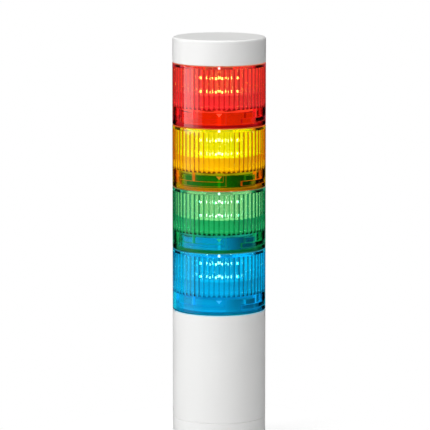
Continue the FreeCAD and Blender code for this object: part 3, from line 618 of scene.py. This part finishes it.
# %% Lit edges and grooves
BAND = 0.5 * MM  # how far from an end the light still shows
MARGIN = 0.1 * MM
FLANK = 0.5  # a face that looks outwards less than this is the flank of a hook or an end
VALLEY_SHARE, FOOT_SHARE = 1 / STEPS, 0.3  # share of a prism's pitch on either side of a valley


def prism_slot(middle, height):
    """The finish of a face on the prism-lined wall."""
    along = math.atan2(middle.y, middle.x) * RIBS / (2 * math.pi) % 1
    off_valley = min(along, 1 - along)
    # Valleys, and the prism feet beside them, are darkened with painted shade.
    if height < floor_foot + RUN_OUT and off_valley < FOOT_SHARE:
        return SHADED_RIB_FOOT
    return SHADED_GROOVE if off_valley < VALLEY_SHARE else PRISMS


def lens_slot(middle, normal, foot):
    """The finish of a face of the lens, from its middle, its normal and the tier's foot."""
    height = middle.z - foot
    radius = math.hypot(middle.x, middle.y)
    square = abs(normal.x * middle.x + normal.y * middle.y) < FLANK * radius
    rim = square and height < rim_gap + BAND
    hook = square and ledge_tip < radius < socket - MARGIN and height < floor_foot - MARGIN
    lug = square and NECK < radius < lug_tip and height > pitch + 2 * BAND
    key = middle.y < 0 and radius < neck_bore - 2 * MARGIN and height > pitch - BAND
    if rim or hook or lug or (key and abs(middle.x) < KEY_HALF + MARGIN):
        return LIT
    if rib_tip - MARGIN < radius < socket and floor_foot < height < roof:
        return prism_slot(middle, height)
    # The shoulder band takes the prisms' faint painted glow too.
    shoulder = radius > NECK and pitch - BAND < height < pitch + MARGIN
    return PRISMS if shoulder else PLAIN


print(f"grooves take {2 * VALLEY_SHARE:.0%} of the wall")

# %% Make the four lenses
for tier in TIERS:
    foot = tier_foot[tier]
    lens = sweep(f"{tier}_globe", lens_rings(foot))
    for finish in lens_finishes(tier):
        lens.data.materials.append(finish)
    for face in lens.data.polygons:
        face.material_index = lens_slot(face.center, face.normal, foot)
    add_marks(lens, foot)
    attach(lens, f"{tier}_module")
    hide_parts(f"{tier}_lens")
    print(lens.name, len(lens.data.polygons), "faces")

# %% [markdown]
# ## Lamps
#
# Twelve domed lamps sit in two rows on the folded board. Each is a satin white case, moulded in
# PPA, with a tiny bright die under a dome of clear cast silicone, which makes it a point and not
# a disc. The prisms split each point into a row. Behind a deeply tinted wall a lamp still looks
# nearly white, so the die takes the colour that the wall must be given for white to come out.

# %% Lamp shapes
LAMP_SIDE, LAMP_DEPTH = 4.0 * MM, 1.0 * MM
DOME_RADIUS, DOME_RISE = 1.5 * MM, 0.5  # the rise is a share of the radius
DOME_ROWS, DOME_SIDES = 5, 14
DIE_SIDE, DIE_DEPTH, DIE_LIFT = 1.3 * MM, 0.1 * MM, 0.15 * MM


def add_block(form, matrix, size, slot_index):
    """A block of size (x, y, z) centred on a matrix."""
    made = bmesh.ops.create_cube(form, size=1.0, matrix=matrix @ Matrix.Diagonal((*size, 1.0)))
    for vert in made["verts"]:
        for face in vert.link_faces:
            face.material_index = slot_index


def add_dome(form, matrix, slot_index):
    """A flattened dome on a flat foot."""
    rises = [math.pi / 2 * row / DOME_ROWS for row in range(DOME_ROWS)]
    turns = [2 * math.pi * n / DOME_SIDES for n in range(DOME_SIDES)]
    rows = []
    for rise in rises:
        r, height = DOME_RADIUS * math.cos(rise), DOME_RADIUS * DOME_RISE * math.sin(rise)
        spots = [Vector((r * math.cos(t), r * math.sin(t), height)) for t in turns]
        rows.append([form.verts.new(matrix @ spot) for spot in spots])
    top = form.verts.new(matrix @ Vector((0, 0, DOME_RADIUS * DOME_RISE)))
    faces = [form.faces.new(list(reversed(rows[0])))]
    for row, above in zip(rows, rows[1:]):
        for n in range(DOME_SIDES):
            m = (n + 1) % DOME_SIDES
            faces.append(form.faces.new((row[n], row[m], above[m], above[n])))
    for n in range(DOME_SIDES):
        faces.append(form.faces.new((rows[-1][n], rows[-1][(n + 1) % DOME_SIDES], top)))
    for face in faces:
        face.material_index = slot_index
        face.smooth = True


def add_lamp(form, matrix):
    """One lamp: its case, its dome and the die under the dome."""
    case = matrix @ Matrix.Translation((0, 0, LAMP_DEPTH / 2))
    add_block(form, case, (LAMP_SIDE, LAMP_SIDE, LAMP_DEPTH), 0)
    add_dome(form, matrix @ Matrix.Translation((0, 0, LAMP_DEPTH)), 1)
    die = matrix @ Matrix.Translation((0, 0, LAMP_DEPTH + DIE_LIFT))
    add_block(form, die, (DIE_SIDE, DIE_SIDE, DIE_DEPTH), 2)


print(f"lamps {LAMP_SIDE / MM} mm square, dies {DIE_SIDE / MM} mm")

# %% Lamp finishes
DIE_STRENGTH = 2500.0
DIE_COLOURS = {  # linear colour, roughly the opposite of the wall's tint
    "red": (0.09, 1.0, 0.08),
    "amber": (0.03, 0.05, 1.0),
    "green": (1.0, 0.12, 0.17),
    "blue": (1.0, 0.03, 0.02),
}
lamp_case = moulded_plastic("ppa_moulded_lamp_case", "#F2F0EA", 0.4)
dome_silicone = clear_material("silicone_cast_dome", (0.98, 0.98, 0.96), SILICONE, 0.0)


def die_material(tier):
    """The chip that makes the light: it only emits, so it has no gloss of its own."""
    material, tree, out = blank_material(f"led_die_{tier}")
    colour = (*DIE_COLOURS[tier], 1.0)
    shine = add(tree, "ShaderNodeEmission", Color=colour, Strength=DIE_STRENGTH)
    tree.links.new(shine.outputs[0], out.inputs["Surface"])
    return material


print("lamp finishes:", lamp_case.name, dome_silicone.name)

# %% Make the lamps
BOARD_FACES = 6


def make_lamps(tier):
    """Twelve lamps, two on each face of the folded board."""
    node = f"{tier}_leds"
    foot, top = low(node), high(node)
    reach = -foot.y - DOME_RADIUS * DOME_RISE - LAMP_DEPTH
    rows = (foot.z + LAMP_SIDE / 2, top.z - LAMP_SIDE / 2)
    form = bmesh.new()
    for n in range(BOARD_FACES):
        turn = Matrix.Rotation(2 * math.pi * n / BOARD_FACES, 4, "Z")
        for height in rows:
            place = Matrix.Translation((0, -reach, height))
            add_lamp(form, turn @ place @ Matrix.Rotation(math.pi / 2, 4, "X"))
    mesh = bpy.data.meshes.new(f"{tier}_lamps")
    form.to_mesh(mesh)
    form.free()
    for finish in (lamp_case, dome_silicone, die_material(tier)):
        mesh.materials.append(finish)
    lamps = bpy.data.objects.new(f"{tier}_lamps", mesh)
    scene.collection.objects.link(lamps)
    lamps.visible_diffuse = False
    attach(lamps, f"{tier}_module")
    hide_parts(node)
    return lamps


for tier in TIERS:
    lamps = make_lamps(tier)
    print(lamps.name, len(lamps.data.polygons), "faces")

# %% [markdown]
# ## Light inside the tiers
#
# The clear acrylic sleeve round the lamps, the white holder under them and the pale nylon plate
# that closes each neck catch the lamps' light and pass it on. Each shows a share of it as a glow,
# in the colour that the walls round it leave. The sleeve is what makes the bright upper band. The
# neck of the base casing stands in the lowest skirt, so only that part of the casing glows.

# %% Dress the sleeves, holders and plates
GLOW = {  # linear colour of the glow: the sleeve's, the holder's and the plate's
    "red": ((0.10, 0.15, 0.06), (0.18, 0.12, 0.13), (0.44, 0.24, 0.14)),
    "amber": ((0.075, 0.24, 0.0), (0.22, 0.30, 0.01), (0.60, 0.42, 0.02)),
    "green": ((1.20, 0.20, 0.14), (0.10, 0.22, 0.13), (0.08, 0.20, 0.20)),
    "blue": ((0.0, 0.08, 0.09), (0.0, 0.18, 0.25), (0.0, 0.66, 2.0)),
}
BASE_PLATE_GLOW, BASE_NECK_GLOW = (0.0, 0.30, 1.10), (0.0, 0.24, 0.34)
HOLDER_WHITE, PLATE_PALE, SATIN = "#F4F4F2", "#E9E8E2", 0.45


def plate_nylon(place, glow, turned):
    return moulded_plastic(
        f"nylon_moulded_plate_{place}", PLATE_PALE, SATIN, glow=glow, turned=turned
    )


for tier, (in_sleeve, in_holder, in_plate) in GLOW.items():
    sleeve = clear_material(f"acrylic_sleeve_{tier}", CLEAR, ACRYLIC, 0.05, 1.0, in_sleeve)
    holder = moulded_plastic(f"abs_moulded_holder_{tier}", HOLDER_WHITE, SATIN, glow=in_holder)
    dress(f"{tier}_inner_lens", sleeve)
    dress(f"{tier}_holder", holder)
    dress(f"{tier}_contact_plate", plate_nylon(tier, in_plate, turned=tier != "amber"))
dress("base_contact_plate", plate_nylon("base", BASE_PLATE_GLOW, turned=True))
lit_neck = moulded_plastic(
    "abs_moulded_white_lit_neck",
    ABS_WHITE,
    ABS_SATIN,
    glow=BASE_NECK_GLOW,
    turned=True,
    above=tier_foot["blue"],
)
dress("base_body", lit_neck)
print(f"base casing glows above {tier_foot['blue'] / MM:.1f} mm")

# %% [markdown]
# ## Studio surround and floor
#
# A white surround and a pale floor. The camera, and anything seen straight through a wall, meets
# white, but a matt face is lit by the dimmer room, so that it keeps its shading, and a polished
# face mirrors a dark room, so that it keeps its depth. Beside the tower the camera sees the
# floor's own paint with some white added, which keeps a soft shadow there.

# %% Surround
AMBIENT, SEEN_THROUGH, MIRRORED = 0.36, 0.45, 0.04  # the room on matt, clear and polished faces
BACK = (0.55, 0.85)  # how squarely behind the tower a ray must point to meet the white backdrop
WHITE = linear("#FFFFFF")

world = bpy.data.worlds.new("studio_surround")
scene.world = world
world.use_nodes = True
tree = world.node_tree
tree.nodes.clear()
path = add(tree, "ShaderNodeLightPath").outputs
pointing = add(tree, "ShaderNodeTexCoord").outputs["Generated"]
away = add(tree, "ShaderNodeSeparateXYZ", Vector=pointing).outputs["Y"]
behind = add(
    tree, "ShaderNodeMapRange", Value=away, From_Min=BACK[0], From_Max=BACK[1]
).outputs[0]
white = math_node(tree, "MULTIPLY", behind, path["Is Transmission Ray"])
white = math_node(tree, "MAXIMUM", white, path["Is Camera Ray"])
through = math_node(tree, "MULTIPLY", path["Is Transmission Ray"], SEEN_THROUGH)
direct = math_node(tree, "MAXIMUM", math_node(tree, "MAXIMUM", white, through), MIRRORED)
after_matt = math_node(tree, "GREATER_THAN", path["Diffuse Depth"], 0.5)
strength = add(tree, "ShaderNodeMix", Factor=after_matt, A=direct, B=AMBIENT).outputs[0]
surround = add(tree, "ShaderNodeBackground", Color=WHITE, Strength=strength)
add(tree, "ShaderNodeOutputWorld", Surface=surround.outputs[0])
print("surround:", world.name)

# %% Floor
FLOOR = 12.0
REAR = 0.12  # how far behind the axis clear walls start to see a white floor
SHADOW_FULL, SHADOW_END = 0.045, 0.12  # distances from the axis within which a shadow shows
ADDED_WHITE = 0.35


def painted_floor():
    """Pale paint that the camera, and clear walls that look backwards, see burnt out to white."""
    material, tree, out = blank_material("painted_floor_pale")
    path = add(tree, "ShaderNodeLightPath").outputs
    place = add(tree, "ShaderNodeTexCoord").outputs["Object"]
    far = add(tree, "ShaderNodeSeparateXYZ", Vector=place).outputs["Y"]
    rear = math_node(tree, "GREATER_THAN", far, REAR)
    white = math_node(tree, "MULTIPLY", rear, path["Is Transmission Ray"])
    white = math_node(tree, "MAXIMUM", white, path["Is Camera Ray"])
    white = math_node(tree, "GREATER_THAN", white, path["Diffuse Depth"])
    paint = add(tree, "ShaderNodeBsdfDiffuse", Color=linear("#EDEDED")).outputs[0]
    dark = add(tree, "ShaderNodeBsdfDiffuse", Color=linear("#303030")).outputs[0]
    burnt = add(tree, "ShaderNodeEmission", Color=WHITE, Strength=1.0).outputs[0]
    veil = add(tree, "ShaderNodeEmission", Color=WHITE, Strength=ADDED_WHITE).outputs[0]
    shaded = add(tree, "ShaderNodeAddShader", i0=veil, i1=paint).outputs[0]
    reach = add(tree, "ShaderNodeVectorMath", {"operation": "LENGTH"}, i0=place).outputs["Value"]
    near = add(
        tree, "ShaderNodeMapRange", Value=reach, From_Min=SHADOW_END, From_Max=SHADOW_FULL
    ).outputs[0]
    near = math_node(tree, "MULTIPLY", near, path["Is Camera Ray"])
    seen = add(tree, "ShaderNodeMixShader", i0=near, i1=burnt, i2=shaded).outputs[0]
    room = add(tree, "ShaderNodeMixShader", i0=path["Is Glossy Ray"], i1=paint, i2=dark).outputs[0]
    mixed = add(tree, "ShaderNodeMixShader", i0=white, i1=room, i2=seen)
    tree.links.new(mixed.outputs[0], out.inputs["Surface"])
    return material


def card(name, corners, material):
    """A flat four-cornered stage piece."""
    mesh = bpy.data.meshes.new(name)
    mesh.from_pydata(corners, [], [(0, 1, 2, 3)])
    mesh.materials.append(material)
    made = bpy.data.objects.new(name, mesh)
    scene.collection.objects.link(made)
    return made


corners = [(-FLOOR, -FLOOR, 0), (FLOOR, -FLOOR, 0), (FLOOR, FLOOR, 0), (-FLOOR, FLOOR, 0)]
card("floor", corners, painted_floor())
print("floor:", 2 * FLOOR, "m square")

# %% [markdown]
# ## Flags
#
# A flag is a black card that stands beside clear goods in a studio. There is one at either side
# behind the tower, out of the picture, and the clear walls bend it in along their outlines as a
# dark edge. The right one also takes a little light from the far side of the white casing.

# %% Make the flags
flag_cloth, tree, out = blank_material("black_flag_cloth")
cloth = add(tree, "ShaderNodeBsdfDiffuse", Color=linear("#0A0A0A"))
tree.links.new(cloth.outputs[0], out.inputs["Surface"])


def flag(name, near, far, distance, height, dims_white=False):
    """A black card from one bearing to another, in degrees right of straight back."""
    ends = [math.radians(bearing) for bearing in (near, far)]
    (ax, ay), (bx, by) = [(distance * math.sin(b), distance * math.cos(b)) for b in ends]
    made = card(name, [(ax, ay, 0), (bx, by, 0), (bx, by, height), (ax, ay, height)], flag_cloth)
    made.visible_camera = False
    made.visible_diffuse = dims_white
    made.visible_shadow = False
    return made


flags = [
    flag("flag_right", near=14, far=70, distance=0.5, height=0.9, dims_white=True),
    flag("flag_left", near=-14, far=-50, distance=0.8, height=1.2),
]
print("flags:", [made.name for made in flags])

# %% [markdown]
# ## Studio lamps
#
# A softbox at the left and one overhead light the matt parts. Three upright strips at the left
# are only seen in polished faces: they draw the pale bands down the tiers. Each strip is bright
# beside the top tier and dim below it, so it is two lamps, one over the other.

# %% Light the tower
def softbox(name, bearing, lift, distance, width, height, power, mirror):
    """An area lamp that faces the tower. Bearing is degrees right of the camera's side.

    A mirror lamp is only seen in polished faces; the others only light matt ones.
    """
    light = bpy.data.lights.new(name, "AREA")
    light.shape = "RECTANGLE"
    light.size, light.size_y = width, height
    light.energy = power
    made = bpy.data.objects.new(name, light)
    turn, rise = math.radians(bearing), math.radians(lift)
    flat = distance * math.cos(rise)
    centre = high("cap").z / 2 + distance * math.sin(rise)
    made.location = (flat * math.sin(turn), -flat * math.cos(turn), centre)
    made.rotation_euler = (math.pi / 2 - rise, 0, turn)
    made.visible_diffuse = not mirror
    made.visible_glossy = mirror
    made.visible_transmission = False
    scene.collection.objects.link(made)
    return made


def strip_power(radiance, width, height):
    """The power of an area lamp that shows this radiance."""
    return radiance * math.pi * width * height


softbox("key", -45, lift=20, distance=1.6, width=0.9, height=1.2, power=13, mirror=False)
softbox("top", 0, lift=88, distance=1.4, width=1.2, height=1.2, power=14, mirror=False)
STRIP_TOP, STRIP_SPLIT, STRIP_FOOT = 0.20, 0.147, -0.30
STRIP_DISTANCE = 0.5
STRIPS = ((-80, 0.26, 2.2), (-59, 0.12, 0.9), (-48, 0.12, 0.4))  # bearing, width, radiance
PARTS = (("upper", STRIP_SPLIT, STRIP_TOP, 1.0), ("lower", STRIP_FOOT, STRIP_SPLIT, 0.15))
for n, (bearing, width, radiance) in enumerate(STRIPS):
    for part, foot, top, share in PARTS:
        tall = top - foot
        power = strip_power(radiance * share, width, tall)
        strip = softbox(
            f"strip_{part}_{n}", bearing, 0, STRIP_DISTANCE, width, tall, power, mirror=True
        )
        strip.location.z = (foot + top) / 2
print(len(bpy.data.lights), "studio lamps")

# %% [markdown]
# ## Camera
#
# A long lens from two metres away, a little above the tower, keeps its sides parallel. The tower
# fills the height of the frame, and the foot of its casing is left below the edge.

# %% Camera
LENS_MM, DISTANCE, HEIGHT = 264.0, 2.011, 0.4526
DOWN, ASIDE = 8.53, 0.075  # degrees
camera = bpy.data.objects.new("camera", bpy.data.cameras.new("camera"))
scene.collection.objects.link(camera)
camera.data.lens = LENS_MM
camera.data.clip_end = 60
camera.location = (0, -DISTANCE, HEIGHT)
camera.rotation_euler = (math.radians(90 - DOWN), 0, math.radians(ASIDE))
scene.camera = camera
print("camera lens", camera.data.lens, "mm")
